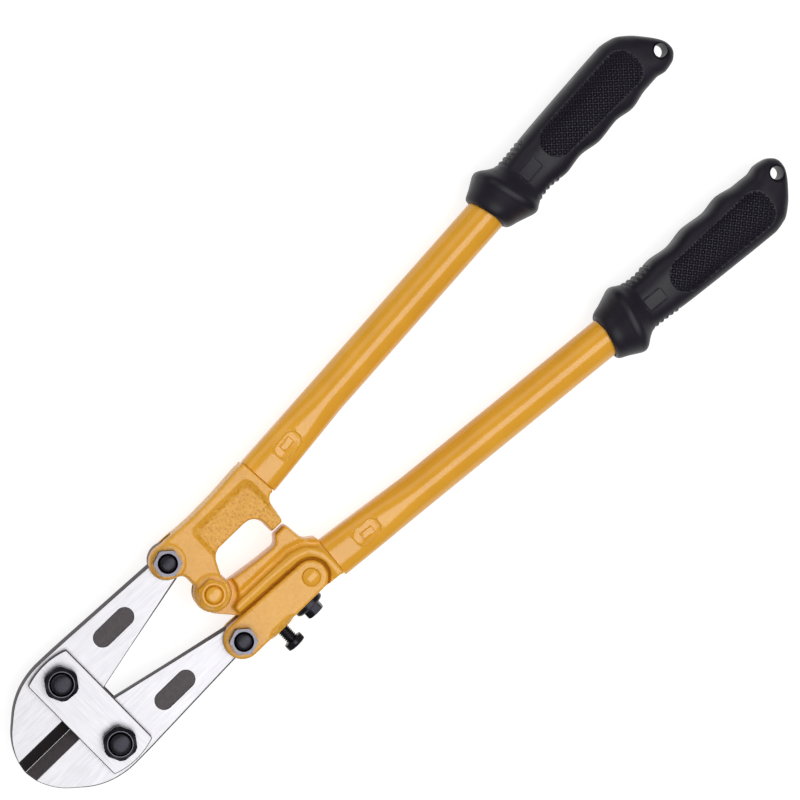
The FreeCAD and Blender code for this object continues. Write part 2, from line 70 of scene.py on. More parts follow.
# Nuts and bolts: a flat faces the angle turn. The CAD has a corner there, so these stand 30 degrees round
# from its hexagons. crest, rim and fall are only here: between the radii crest and rim the nut's face is
# flat, and outside the crest it falls that far to the corners.
PLATE_SIZE = dict(radius=5.0, flats=15.2, corner=8.1, head=6.4, nut=7.6, tail=1.8, turn=55,
                  crest=6.1, rim=5.75, fall=1.6)
BLADE_SIZE = dict(radius=4.0, flats=11.8, corner=6.7, head=5.3, nut=5.8, tail=1.6, turn=19,
                  crest=6.5, rim=4.75, fall=0.2)
CENTRE_SIZE = dict(radius=4.0, flats=13.0, corner=7.4, head=5.3, nut=5.0, tail=1.4, turn=0,
                   crest=5.4, rim=4.85, fall=1.3)
LEFT_PIN = (-25.55, 73.8)
RIGHT_PIN = (25.55, 73.8)
CENTRE_PIN = (0.0, 79.0)
RIVET = (26.7, 117.3)
SCREW_Y = 90.7
SCREW_TIP_X = 31.0
SCREW_HEAD_X = 42.8
SCREW_FLATS = 9.6

# ---- light: radiance of each lamp, and of the floor, which shines a little like a light table ----
SOFTBOX_RADIANCE = 3.6
FILL_RADIANCE = 1.0
FLOOR_GLOW = 0.80
SKY = 0.25


# ---- mesh helpers ----
def smooth_table(rows, at):
    """Each column of rows against its first, by a monotone cubic through the points."""
    rows = np.array(rows, float)
    x, y = rows[:, 0], rows[:, 1:]
    step = np.diff(x)[:, None]
    slope = np.diff(y, axis=0) / step
    tangent = np.zeros_like(y)
    tangent[0], tangent[-1] = slope[0], slope[-1]
    same = slope[:-1] * slope[1:] > 0
    total = slope[:-1] + slope[1:]
    mean = 2 * slope[:-1] * slope[1:] / np.where(same, total, 1)
    tangent[1:-1] = np.where(same, mean, 0)
    i = np.clip(np.searchsorted(x, at, side="right") - 1, 0, len(x) - 2)
    t = ((at - x[i]) / step[i, 0])[:, None]
    h = step[i]
    return ((2 * t ** 3 - 3 * t ** 2 + 1) * y[i] + (t ** 3 - 2 * t ** 2 + t) * h * tangent[i]
            + (3 * t ** 2 - 2 * t ** 3) * y[i + 1] + (t ** 3 - t ** 2) * h * tangent[i + 1])


def smoothstep(low, high, value):
    t = np.clip((value - low) / (high - low), 0, 1)
    return t * t * (3 - 2 * t)


def ring_mesh(name, rings, material, closed_ends=True):
    """A tube of quads through rings of equally many points, in metres, with fans over its ends."""
    rings = np.asarray(rings, float)
    count, around = rings.shape[:2]
    points = rings.reshape(-1, 3)
    faces = []
    turn = np.arange(around)
    following = (turn + 1) % around
    for k in range(count - 1):
        a, b = k * around, (k + 1) * around
        faces.extend(zip(a + turn, a + following, b + following, b + turn))
    if closed_ends:
        middle = len(points)
        points = np.vstack([points, rings[0].mean(0), rings[-1].mean(0)])
        last = (count - 1) * around
        faces.extend(zip(following, turn, [middle] * around))
        faces.extend(zip(last + turn, last + following, [middle + 1] * around))
    mesh = bpy.data.meshes.new(name)
    mesh.from_pydata(points.tolist(), [], [tuple(int(v) for v in face) for face in faces])
    obj = bpy.data.objects.new(name, mesh)
    bpy.context.scene.collection.objects.link(obj)
    mesh.materials.append(material)
    tidy_normals(obj)
    return obj


def tidy_normals(obj, angle=35):
    """Outward normals, smooth but for edges sharper than the angle."""
    work = bmesh.new()
    work.from_mesh(obj.data)
    bmesh.ops.recalc_face_normals(work, faces=work.faces)
    work.to_mesh(obj.data)
    work.free()
    obj.data.shade_smooth()
    obj.data.set_sharp_from_angle(angle=math.radians(angle))


def apply_modifiers(obj):
    graph = bpy.context.evaluated_depsgraph_get()
    mesh = bpy.data.meshes.new_from_object(obj.evaluated_get(graph))
    obj.modifiers.clear()
    obj.data = mesh


def to_frame(points, handle):
    """Points of the handle's frame, in mm, to the part's frame, in metres."""
    turn = math.radians(handle["turn"])
    x = points[..., 0] * handle["side"]
    y, z = points[..., 1], points[..., 2]
    placed = np.stack([handle["end"][0] + x * math.cos(turn) - y * math.sin(turn),
                       handle["end"][1] + x * math.sin(turn) + y * math.cos(turn), z], -1)
    return placed * MM + ORIGIN


# ---- material helpers ----
class Graph:
    """A material's node tree, built by short calls."""

    def __init__(self, name):
        self.material = bpy.data.materials.new(name)
        self.material.use_nodes = True
        self.tree = self.material.node_tree
        self.shader = self.tree.nodes["Principled BSDF"]
        place = self.add("ShaderNodeTexCoord")
        self.coordinates = place.outputs["Object"]
        self.normal = place.outputs["Normal"]

    def add(self, kind, **settings):
        node = self.tree.nodes.new(kind)
        for key, value in settings.items():
            setattr(node, key, value)
        return node

    def put(self, socket, value):
        if isinstance(value, bpy.types.NodeSocket):
            self.tree.links.new(value, socket)
        else:
            socket.default_value = value

    def noise(self, scale, detail=3.0, roughness=0.5, stretch=(1, 1, 1)):
        mapping = self.add("ShaderNodeMapping")
        self.put(mapping.inputs["Vector"], self.coordinates)
        mapping.inputs["Scale"].default_value = stretch
        node = self.add("ShaderNodeTexNoise")
        self.put(node.inputs["Vector"], mapping.outputs["Vector"])
        node.inputs["Scale"].default_value = scale
        node.inputs["Detail"].default_value = detail
        node.inputs["Roughness"].default_value = roughness
        return node.outputs["Fac"]

    def axes(self, vector):
        node = self.add("ShaderNodeSeparateXYZ")
        self.put(node.inputs[0], vector)
        return node.outputs

    def off_middle(self):
        """Distance from the tool's middle plane, in metres."""
        above = self.math("SUBTRACT", self.axes(self.coordinates)["Z"], float(ORIGIN[2]))
        return self.math("ABSOLUTE", above)

    def math(self, operation, first, second=0.0, third=0.0):
        node = self.add("ShaderNodeMath", operation=operation)
        for socket, value in zip(node.inputs, (first, second, third)):
            self.put(socket, value)
        return node.outputs[0]

    def remap(self, value, low, high, to_low, to_high):
        node = self.add("ShaderNodeMapRange")
        for key, item in zip(("Value", "From Min", "From Max", "To Min", "To Max"),
                             (value, low, high, to_low, to_high)):
            self.put(node.inputs[key], item)
        return node.outputs["Result"]

    def mix(self, factor, first, second):
        node = self.add("ShaderNodeMix", data_type="RGBA")
        self.put(node.inputs[0], factor)
        self.put(node.inputs[6], first)
        self.put(node.inputs[7], second)
        return node.outputs[2]

    def bump(self, height, strength, distance, after=None):
        node = self.add("ShaderNodeBump")
        self.put(node.inputs["Height"], height)
        node.inputs["Strength"].default_value = strength
        node.inputs["Distance"].default_value = distance
        if after is not None:
            self.put(node.inputs["Normal"], after)
        return node.outputs["Normal"]

    def finish(self, **inputs):
        for name, value in inputs.items():
            self.put(self.shader.inputs[name.replace("_", " ")], value)
        return self.material


def colour(red, green, blue):
    return (red, green, blue, 1.0)


# ---- materials ----
def paint_material(name, cast_depth, gloss, pit_shade_and_highlight):
    """Glossy golden enamel; the last argument sets how strongly the mould's pits get painted shade (dark
    spots) and painted highlights (light specks), most below the cheeks' faces.
    """
    g = Graph(name)
    broad = g.noise(60, 2)
    grain = g.noise(900, 4, 0.6)
    pits = g.noise(760, 4, 0.65)
    sunk = g.remap(g.off_middle(), (CHEEK_OUT - 1.2) * MM, (CHEEK_OUT - 0.4) * MM, 1.0, 0.3)
    shade = g.mix(g.remap(broad, 0.3, 0.7, 0, 1), colour(0.74, 0.345, 0.020), colour(0.80, 0.385, 0.027))
    if pit_shade_and_highlight > 0:
        # painted shade: darker spots where the pit noise runs high, mostly on faces below the cheeks
        shade = g.mix(g.math("MULTIPLY", g.remap(pits, 0.53, 0.62, 0, 0.8 * pit_shade_and_highlight), sunk), shade,
                      colour(0.55, 0.22, 0.010))
        # painted highlight: lighter specks where the pit noise runs low, mostly on faces below the cheeks
        shade = g.mix(g.math("MULTIPLY", g.remap(pits, 0.46, 0.38, 0, 0.6 * pit_shade_and_highlight), sunk), shade,
                      colour(0.86, 0.52, 0.14))
    peel = g.bump(g.noise(240, 2), 0.06, 0.0003)
    rough = g.bump(g.math("MULTIPLY", pits, sunk), 0.8, cast_depth, peel)
    return g.finish(Base_Color=shade, Roughness=g.remap(grain, 0.3, 0.7, gloss, gloss + 0.06), Normal=rough,
                    IOR=1.52)


def ground_metal(name, top, brush_along):
    """Ground faces at the height of top, with the dark forging skin left on all that lies below them.

    The skin that faces the tool's right is painted darker, a painted shade, so the jaw's two bevels differ
    in tone.
    """
    g = Graph(name)
    skin = g.remap(g.off_middle(), (top - 0.16) * MM, (top - 0.07) * MM, 1, 0)
    brushed = g.noise(1500, 3, 0.6, brush_along)
    cloud = g.noise(70, 4, 0.6)
    forged = g.noise(700, 5, 0.7)
    bright = g.mix(cloud, colour(0.38, 0.375, 0.395), colour(0.42, 0.415, 0.435))
    grey = g.mix(forged, colour(0.026, 0.019, 0.020), colour(0.095, 0.078, 0.084))
    # painted shade: skin whose normal faces the tool's right is made near black
    shade_toward_right = g.remap(g.axes(g.normal)["X"], 0.1, 0.45, 0, 1)
    dark = g.mix(shade_toward_right, grey, colour(0.010, 0.006, 0.007))
    relief = g.bump(brushed, 0.05, 0.00003)
    return g.finish(
        Base_Color=g.mix(skin, bright, dark),
        Metallic=g.remap(skin, 0, 1, 1.0, 0.2),
        Roughness=g.math("ADD", g.remap(brushed, 0.3, 0.7, 0.37, 0.43), g.math("MULTIPLY", skin, 0.15)),
        Normal=g.bump(g.math("MULTIPLY", forged, skin), 0.5, 0.0001, relief))


def oxide_material(name, face_highlight):
    """Blackened steel; the faces across the bolt's axis are painted a lighter grey, a painted highlight."""
    g = Graph(name)
    spots = g.noise(1200, 4, 0.6)
    highlight_mottle = g.noise(300, 4, 0.6)
    # painted highlight: faces whose normal lies along the bolt's axis get the lighter grey, by the second
    # argument's amount
    face = g.remap(g.math("ABSOLUTE", g.axes(g.normal)["Z"]), 0.90, 0.97, 0, face_highlight)
    black = g.mix(spots, colour(0.010, 0.009, 0.013), colour(0.030, 0.028, 0.037))
    grey = g.mix(highlight_mottle, colour(0.16, 0.15, 0.19), colour(0.30, 0.29, 0.34))
    return g.finish(Base_Color=g.mix(face, black, grey), Metallic=0.8,
                    Roughness=g.remap(spots, 0.3, 0.7, 0.22, 0.40), Normal=g.bump(spots, 0.3, 0.00004))


def grip_material():
    g = Graph("grip_rubber")
    grain = g.noise(2600, 3, 0.6)
    cloud = g.noise(90, 3, 0.5)
    shade = g.mix(cloud, colour(0.0075, 0.0062, 0.0110), colour(0.0130, 0.0108, 0.0190))
    return g.finish(Base_Color=shade, Roughness=g.remap(cloud, 0.3, 0.7, 0.36, 0.48), IOR=1.33,
                    Normal=g.bump(grain, 0.2, 0.00005))


CAST_PAINT = paint_material("cast_paint", 0.00050, 0.26, 1.0)
SMOOTH_CAST_PAINT = paint_material("smooth_cast_paint", 0.00018, 0.22, 0.35)
TUBE_PAINT = paint_material("tube_paint", 0.00001, 0.15, 0.0)
BLADE_STEEL = ground_metal("blade_steel", BLADE_HALF, (1, 0.06, 1))
PLATE_STEEL = ground_metal("plate_steel", PLATE_OUT, (0.06, 1, 1))
NUT_OXIDE = oxide_material("nut_oxide", 0.55)
PLATE_NUT_OXIDE = oxide_material("plate_nut_oxide", 0.25)
OXIDE = oxide_material("black_oxide", 0.0)
RUBBER = grip_material()


# ---- grips ----
# distance up the grip, slant of the ring in degrees, outer side, inner side, half thickness, squareness
GRIP_ROWS = [
    (0.6, 8.5, -11.2, 11.2, 11.2, 2.0), (1.3, 8.7, -12.0, 12.0, 12.0, 2.1),
    (6.0, 9.2, -13.9, 13.9, 13.7, 2.3), (11.0, 9.5, -16.1, 16.1, 15.9, 2.5),
    (12.8, 9.5, -16.8, 16.8, 16.7, 2.6), (14.2, 9.5, -17.0, 17.0, 16.9, 2.6),
    (15.6, 9.0, -16.5, 16.7, 16.5, 2.6), (18.2, 7.0, -13.8, 15.7, 15.0, 2.6),
    (21.0, 4.5, -11.7, 14.8, 13.6, 2.7), (24.0, 2.0, -11.1, 14.1, 12.6, 2.8),
    (30.0, 0.0, -11.2, 13.8, 12.3, 3.0), (36.5, 0.0, -11.6, 14.9, 12.6, 3.0),
    (41.0, 0.0, -11.8, 15.5, 12.8, 3.0), (50.3, 0.0, -12.0, 14.8, 13.0, 3.0),
    (63.5, 0.0, -12.2, 17.2, 13.2, 3.0), (74.3, 0.0, -12.3, 16.6, 13.2, 3.0),
    (85.2, 0.0, -12.4, 18.7, 13.0, 3.0), (95.0, 0.0, -12.4, 17.5, 12.4, 3.0),
    (103.0, 0.0, -10.6, 17.5, 11.2, 3.0), (109.0, 0.0, -6.0, 18.9, 9.8, 3.0),
    (114.0, 0.0, 0.2, 18.3, 8.4, 3.0), (117.6, 0.0, 5.6, 16.2, 6.4, 2.8),
    (119.2, 0.0, 9.0, 13.8, 3.6, 2.5), (119.5, 0.0, 10.6, 12.2, 1.2, 2.0)]
LATTICE_PITCH = 2.6
MESH_STEP = LATTICE_PITCH * math.sqrt(2) / 12       # so that the ribs run along the mesh's diagonals
PANEL_LOW, PANEL_HIGH = 39.5, 102.0
SERRATION_PITCH = 2.9
SERRATION_LOW = 22.0
SERRATIONS = 5


def rounded_box(x, y, half_x, half_y, corner):
    """Signed distance to the edge of a rectangle with round corners, negative inside it."""
    over_x = np.abs(x) - (half_x - corner)
    over_y = np.abs(y) - (half_y - corner)
    outside = np.hypot(np.maximum(over_x, 0), np.maximum(over_y, 0))
    return outside + np.minimum(np.maximum(over_x, over_y), 0) - corner


def lattice_height(x, y):
    """The panel on the grip's faces: thin diagonal ribs, a small stud in each cell between them."""
    along = np.clip((y - PANEL_LOW) / (PANEL_HIGH - PANEL_LOW), 0, 1)
    left = -8.4 + 0.8 * along
    right = 8.4 + 4.3 * along
    edge = rounded_box(x - (left + right) / 2, y - (PANEL_LOW + PANEL_HIGH) / 2, (right - left) / 2,
                       (PANEL_HIGH - PANEL_LOW) / 2, 8.4)
    inside = smoothstep(0.1, -0.5, edge)
    u = (x + y) / math.sqrt(2) / LATTICE_PITCH
    v = (x - y) / math.sqrt(2) / LATTICE_PITCH
    off_u = np.abs(u - np.round(u)) * LATTICE_PITCH
    off_v = np.abs(v - np.round(v)) * LATTICE_PITCH
    rib = np.maximum(smoothstep(0.42, 0.12, off_u), smoothstep(0.42, 0.12, off_v))
    square = np.maximum(LATTICE_PITCH / 2 - off_u, LATTICE_PITCH / 2 - off_v)
    stud = smoothstep(0.72, 0.42, square)
    return inside * (-0.75 + 0.62 * rib + 0.40 * stud)


def serration_height(y, sideways):
    """Beads along both edges of the neck, standing in a shallow hollow."""
    high = SERRATION_LOW + SERRATIONS * SERRATION_PITCH
    window = smoothstep(SERRATION_LOW - 0.9, SERRATION_LOW + 0.5, y) * smoothstep(high + 0.9, high - 0.5, y)
    bead = np.abs(np.sin(math.pi * (y - SERRATION_LOW) / SERRATION_PITCH)) ** 0.8
    side = smoothstep(0.84, 0.97, np.abs(sideways))
    return window * side * (bead * 1.25 - 0.85)


def badge_height(x, y):
    """A shallow plain tablet on the neck, with nothing written on it."""
    edge = rounded_box(x - 0.6, y - 28.6, 3.2, 5.6, 1.2)
    rim = smoothstep(0.45, 0.1, np.abs(edge))
    return 0.10 * rim - 0.14 * smoothstep(0.1, -0.3, edge)


def grip_rings(y, angles):
    """Rings at the distances y up the grip; angles has one row of angles for each of them."""
    tilt, outer, inner, half, square = smooth_table(GRIP_ROWS, y).T
    c, s = np.cos(angles), np.sin(angles)
    power = (2 / square)[:, None]
    x = ((outer + inner) / 2)[:, None] + ((inner - outer) / 2)[:, None] * np.sign(c) * np.abs(c) ** power
    z = half[:, None] * np.sign(s) * np.abs(s) ** power
    along = y[:, None] + x * np.tan(np.radians(tilt))[:, None]
    return np.stack([x, along, z], -1)


def grip_angles(y):
    """For each ring, angles whose points stand in straight evenly spaced columns over the two faces."""
    outer, inner, square = smooth_table(GRIP_ROWS, y).T[[1, 2, 4]]
    centre, half = ((outer + inner) / 2)[:, None], ((inner - outer) / 2)[:, None]
    columns = np.arange(-29, 45)[None] * MESH_STEP
    straight = (smoothstep(33.0, 38.5, y) * smoothstep(105.0, 102.4, y))[:, None]
    spread = centre + half * (columns - 2.45) / 14.2
    x = straight * columns + (1 - straight) * spread
    share = np.clip((x - centre) / half, -0.98, 0.98)
    face = np.arccos(np.sign(share) * np.abs(share) ** (square[:, None] / 2))[:, ::-1]
    steps = np.linspace(0, 1, 26)[1:-1][None]
    outer_side = face[:, -1:] + (2 * math.pi - 2 * face[:, -1:]) * steps
    inner_side = -face[:, :1] + 2 * face[:, :1] * steps
    return np.concatenate([face, outer_side, 2 * math.pi - face[:, ::-1], inner_side], 1)


def grip(name, handle, node, body):
    stops = np.concatenate([np.arange(0.6, 20, 0.5), np.arange(20, 39, 0.33),
                            np.arange(math.ceil(39 / MESH_STEP), 102.6 / MESH_STEP) * MESH_STEP,
                            np.arange(102.9, 119.3, 0.5), [119.35, 119.5]])
    angles = grip_angles(stops)
    rings = grip_rings(stops, angles)
    normals = np.cross(np.gradient(rings, axis=0), np.roll(rings, -1, 1) - np.roll(rings, 1, 1))
    normals /= np.maximum(np.linalg.norm(normals, axis=-1, keepdims=True), 1e-9)
    outward = rings - rings.mean(1, keepdims=True)
    normals *= np.sign((outward * normals).sum(-1, keepdims=True))
    x, y = rings[..., 0], rings[..., 1]
    face = smoothstep(0.45, 0.7, np.abs(normals[..., 2]))
    relief = face * (lattice_height(x, y) + badge_height(x, y)) + serration_height(y, normals[..., 0])
    rings = rings + normals * relief[..., None]
    bore_r = TUBE_R + 0.04
    depth = TUBE_LENGTH - handle["grip_start"] + 0.1
    turn = np.arctan2(rings[0][:, 2], rings[0][:, 0])
    bore = [np.stack([bore_r * np.cos(turn), np.full_like(turn, reach), bore_r * np.sin(turn)], -1)
            for reach in (depth, depth - 0.01, 30.0, 2.2, 1.2)]
    lip = rings[0] * [0.90, 1, 0.90]
    rings = np.concatenate([bore, [lip], rings])
    rings[..., 1] += handle["grip_start"]
    obj = ring_mesh(name, to_frame(rings, handle), RUBBER)
    bore_hole(obj, handle)
    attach(obj, body)
    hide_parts(node)


def bore_hole(obj, handle):
    """Cuts the hanging hole through the grip's tip."""
    around = np.linspace(0, 2 * math.pi, 48, endpoint=False)
    upper = [(HANG_HOLE_R, 6.3), (HANG_HOLE_R + 0.5, 6.9), (HANG_HOLE_R + 1.6, 8.0),
             (HANG_HOLE_R + 1.6, 20)]
    profile = [(r, -z) for r, z in reversed(upper)] + upper
    rings = np.array([np.stack([HANG_HOLE[0] + r * np.cos(around),
                                HANG_HOLE[1] + handle["grip_start"] + r * np.sin(around),
                                np.full_like(around, z)], -1) for r, z in profile])
    cutter = ring_mesh("hole_cutter", to_frame(rings, handle), RUBBER)
    modifier = obj.modifiers.new("hole", "BOOLEAN")
    modifier.operation = "DIFFERENCE"
    modifier.solver = "EXACT"
    modifier.object = cutter
    apply_modifiers(obj)
    bpy.data.objects.remove(cutter)
    tidy_normals(obj)


# ---- tubes ----
def crimp_height(x, y):
    """The mark pressed into the tube over the casting's shank: an oval dish with a bar in it."""
    edge = rounded_box(x - 1.0, y - 20.2, 4.4, 7.3, 4.1)
    bowl = np.clip(-edge / 4.4, 0, 1)
    dish = -0.35 * smoothstep(0.25, -0.25, edge) - 0.75 * np.sin(bowl * math.pi / 2)
    lip = 0.16 * smoothstep(0.6, 0.1, np.abs(edge - 0.3))
    bar = rounded_box(x - 0.3, y - 20.2, 1.6, 3.3, 0.4)
    return dish + lip + 0.75 * smoothstep(0.2, -0.2, bar)


def tube(name, handle, node, body):
    around = 144
    angles = np.linspace(0, 2 * math.pi, around, endpoint=False)
    stops = np.concatenate([[0, 0.25], np.arange(0.8, 10, 1.0), np.arange(10, 31, 0.4),
                            np.arange(31, 52, 1.5), np.linspace(54, TUBE_LENGTH, 40)])
    share = np.clip(stops / TUBE_SWAGE, 0, 1)[:, None]
    power = 2 / (2.0 + 0.9 * (1 - smoothstep(0.3, 1.0, share)))
    centre = (SWAGE_HALF_WIDTH - TUBE_R) * (1 - share)
    wide = SWAGE_HALF_WIDTH + (TUBE_R - SWAGE_HALF_WIDTH) * share
    thick = SWAGE_HALF_THICK + (TUBE_R - SWAGE_HALF_THICK) * share
    edge = np.zeros_like(share)
    edge[0] = 0.25

    def wall(inset):
        c, s = np.cos(angles)[None], np.sin(angles)[None]
        x = centre + (wide - inset) * np.sign(c) * np.abs(c) ** power
        z = (thick - inset) * np.sign(s) * np.abs(s) ** power
        y = np.repeat(stops[:, None], around, 1)
        return np.stack([x, y, z], -1)

    outer = wall(edge)
    face = smoothstep(0.3, 0.6, np.abs(np.sin(angles)))[None]
    outer[..., 2] += np.sign(outer[..., 2]) * face * crimp_height(outer[..., 0], outer[..., 1])
    inner = wall(TUBE_WALL)
    rings = np.concatenate([outer, inner[::-1]])
    rings = np.concatenate([rings, rings[:1]])
    obj = ring_mesh(name, to_frame(rings, handle), TUBE_PAINT, closed_ends=False)
    merge_doubles(obj)
    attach(obj, body)
    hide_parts(node)


def merge_doubles(obj):
    work = bmesh.new()
    work.from_mesh(obj.data)
    bmesh.ops.remove_doubles(work, verts=work.verts, dist=1e-7)
    work.to_mesh(obj.data)
    work.free()
    tidy_normals(obj)


# ---- castings ----
def polyline_distance(points, route):
    """Distance of each point to a polyline, and on which side of it the point lies."""
    best = np.full(len(points), 1e9)
    side = np.zeros(len(points))
    for start, end in zip(np.array(route[:-1], float), np.array(route[1:], float)):
        along = end - start
        share = np.clip(((points - start) @ along) / (along @ along), 0, 1)
        off = points - start - share[:, None] * along
        distance = np.hypot(off[:, 0], off[:, 1])
        nearer = distance < best
        best[nearer] = distance[nearer]
        side[nearer] = (off[:, 1] * along[0] - off[:, 0] * along[1])[nearer]
    return best, side


def recess_relief(points):
    """Pits in the floor of the left casting's panel."""
    edge = rounded_box(points[:, 0] + 8, points[:, 1] - 109.6, 17.0, 15.8, 2.0)
    inside = smoothstep(0.2, -0.8, edge)
    coarse = np.array([noise.noise(Vector((x * 0.95, y * 0.95, 3.0))) for x, y in points])
    fine = np.array([noise.noise(Vector((x * 2, y * 2, 7))) for x, y in points])
    spots = coarse + 0.5 * fine
    pits = smoothstep(0.16, 0.42, spots) * 0.32
    floor = CHEEK_OUT - 2.2
    return np.where(inside > 0, floor + 0.05 - inside * pits, 99.0)


def ridge_relief(points):
    """The right casting's rail, the channel beside it and the rim."""
    rail_route = [(12.7, 80), (13.1, 103), (14.2, 118), (16.9, 125.4), (22.2, 128.2), (28.9, 128.6),
                  (38, 128.2)]
    groove_route = [(9.3, 80), (9.9, 118), (12.3, 125.2), (17.6, 130.2), (23, 133)]
    ridge, side = polyline_distance(points, rail_route)
    groove, _ = polyline_distance(points, groove_route)
    rail = CHEEK_OUT - np.where(side > 0, 0.24, 0.12) * ridge ** 2
    rim = 8.2 - 1.8 * np.exp(-(groove / 1.5) ** 2)
    return np.maximum(rail, rim)


def shoulder_relief(points):
    """The link's outer side slopes down over the adjusting screw's boss."""
    low, high = 82.5, 100.5
    middle, half = (low + high) / 2, (high - low) / 2
    edge = 31.7 + 3.4 * np.clip(np.abs(points[:, 1] - middle) / half, 0, 1.2) ** 5
    over = np.maximum(points[:, 0] - edge, 0)
    return CHEEK_OUT + 0.02 - 0.5 * over - 0.18 * over ** 2


def casting(name, node, body, paint, relief, draft, rounding, parting, holes, voxel=0.40):
    """The CAD casting with drafted sides, rounded edges and its relief, as it comes from the mould.

    parting gives the height at which the sides start to lean in, for points across the tool.
    """
    obj = bpy.data.objects.new(name, frame["nodes"][node].data.copy())
    bpy.context.scene.collection.objects.link(obj)
    obj.data.materials.clear()
    even_mesh(obj, voxel)
    count = len(obj.data.vertices)
    places = np.empty(count * 3)
    normals = np.empty(count * 3)
    obj.data.vertices.foreach_get("co", places)
    obj.data.vertices.foreach_get("normal", normals)
    places = places.reshape(-1, 3) / MM - ORIGIN / MM
    normals = normals.reshape(-1, 3)
    flat, height = places[:, :2], np.abs(places[:, 2])
    wall = (np.abs(normals[:, 2]) < 0.35) & (height < 7.4) & (height > 5.2)
    for x, y in holes:
        wall &= np.hypot(flat[:, 0] - x, flat[:, 1] - y) > 6.5
    for handle in (LEFT_HANDLE, RIGHT_HANDLE):
        wall &= ~in_tube(flat, handle, -1.6)
    distance = wall_distance(flat, flat[wall], draft + rounding)
    ground = parting(flat)
    lean = np.clip((draft - distance) / draft, 0, 1)
    across = np.clip(rounding - (distance - draft), 0, rounding)
    drop = rounding - np.sqrt(rounding ** 2 - across ** 2) + lean * (CHEEK_OUT - rounding - ground)
    target = np.minimum(np.maximum(ground, height - drop), np.maximum(relief(flat), ground))
    inside = in_tube(flat, LEFT_HANDLE, 0.0) | in_tube(flat, RIGHT_HANDLE, 0.0)
    height = np.where(inside, height, np.minimum(height, target))
    places[:, 2] = np.sign(places[:, 2]) * height
    obj.data.vertices.foreach_set("co", ((places + ORIGIN / MM) * MM).reshape(-1))
    obj.data.update()
    even_mesh(obj, voxel, 4)
    obj.data.materials.append(paint)
    obj.data.shade_smooth()
    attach(obj, body)
    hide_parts(node)


def even_mesh(obj, voxel, rounds=0):
    """Rebuilds the mesh from even cells, then relaxes it."""
    remesh = obj.modifiers.new("remesh", "REMESH")
    remesh.mode = "VOXEL"
    remesh.voxel_size = voxel * MM
    if rounds:
        smooth = obj.modifiers.new("smooth", "SMOOTH")
        smooth.factor = 0.5
        smooth.iterations = rounds
    apply_modifiers(obj)


def in_tube(flat, handle, margin):
    """Whether points lie past the handle's lower tube end, by more than the margin."""
    turn = math.radians(handle["turn"])
    off = flat - np.array(handle["end"])
    along = -off[:, 0] * math.sin(turn) + off[:, 1] * math.cos(turn)
    aside = off[:, 0] * math.cos(turn) + off[:, 1] * math.sin(turn)
    return (along > margin) & (np.abs(aside) < 14)


def wall_distance(flat, walls, reach):
    """How far each point is from the nearest upright wall, up to the reach."""
    cells = np.unique(np.round(walls / 0.15).astype(int), axis=0) * 0.15
    tree = KDTree(len(cells))
    for i, (x, y) in enumerate(cells):
        tree.insert((x, y, 0), i)
    tree.balance()
    near = np.array([tree.find((x, y, 0))[2] for x, y in flat])
    return np.minimum(near, reach)


def fork_parting(flat):
    """The fork's two cheeks keep their inner halves; above them the casting parts at its middle."""
    return 5.8 + (1.0 - 5.8) * smoothstep(84.5, 90.0, flat[:, 1])


def tongue_parting(flat):
    return np.full(len(flat), 4.7)


def link_parting(flat):
    return np.full(len(flat), 6.2)


# ---- nuts, bolts and the adjusting screw ----
def hexagon_limit(angles, across_flats, turn=0.0):
    """A hexagon's radius at each of the angles, with a flat facing the angle turn."""
    offset = np.radians(turn)
    return across_flats / 2 / np.cos((angles - offset + math.pi / 6) % (math.pi / 3) - math.pi / 6)


def lathed(name, profile, across_flats, turn, centre, material):
    """A piece turned about z through the centre, with six flats; profile lists height and radius."""
    angles = np.linspace(0, 2 * math.pi, 96, endpoint=False)
    flats = hexagon_limit(angles, across_flats, turn)
    rings = []
    for z, radius in profile:
        r = np.minimum(radius, flats)
        rings.append(np.stack([centre[0] + r * np.cos(angles), centre[1] + r * np.sin(angles),
                               np.full_like(angles, z)], -1))
    closed = profile[0] == profile[-1]
    obj = ring_mesh(name, np.array(rings) * MM + ORIGIN, material, closed_ends=not closed)
    if closed:
        merge_doubles(obj)
    return obj


def nut(name, centre, seat, size, material):
    """Hexagon nut: sides, a chamfer down from its crest, and a countersink round the bolt."""
    top = seat + size["nut"]
    bore = size["radius"]
    crest, rim, corner, fall = size["crest"], size["rim"], size["corner"], size["fall"]
    profile = [(seat, bore), (seat, corner), (top - fall, corner), (top - 0.1, crest + 0.1), (top, crest),
               (top, rim), (top - 0.1, rim - 0.1), (top - 1.1, bore + 0.02), (seat, bore)]
    return lathed(name, profile, size["flats"], size["turn"], centre, material)


def bolt(name, centre, head_seat, end, size, material):
    """Hexagon head behind, shank, and a domed point in front."""
    radius, corner = size["radius"] - 0.02, size["corner"]
    back = head_seat - size["head"]
    profile = [(back, 1.0), (back, size["flats"] / 2 - 0.4), (back + 0.25, size["flats"] / 2),
               (back + 0.8, corner), (head_seat, corner), (head_seat, radius), (end - 1.3, radius),
               (end - 0.5, radius - 0.45), (end - 0.3, radius - 0.9), (end - 0.16, radius - 1.8),
               (end - 0.05, radius - 2.9), (end, 0.5)]
    return lathed(name, profile, size["flats"], size["turn"], centre, material)


def fastener(nodes, body, centre, seat, size, metals):
    """The nut and the bolt of one joint, each in place of its CAD node; the centre's count as right."""
    side = "_at_left" if centre[0] < 0 else "_at_right"
    end = seat + size["nut"] + size["tail"]
    pieces = [nut(nodes[0] + side, centre, seat, size, metals[0]),
              bolt(nodes[1] + side, centre, -seat, end, size, metals[1])]
    for obj, replaced in zip(pieces, nodes):
        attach(obj, body)
        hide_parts(replaced)


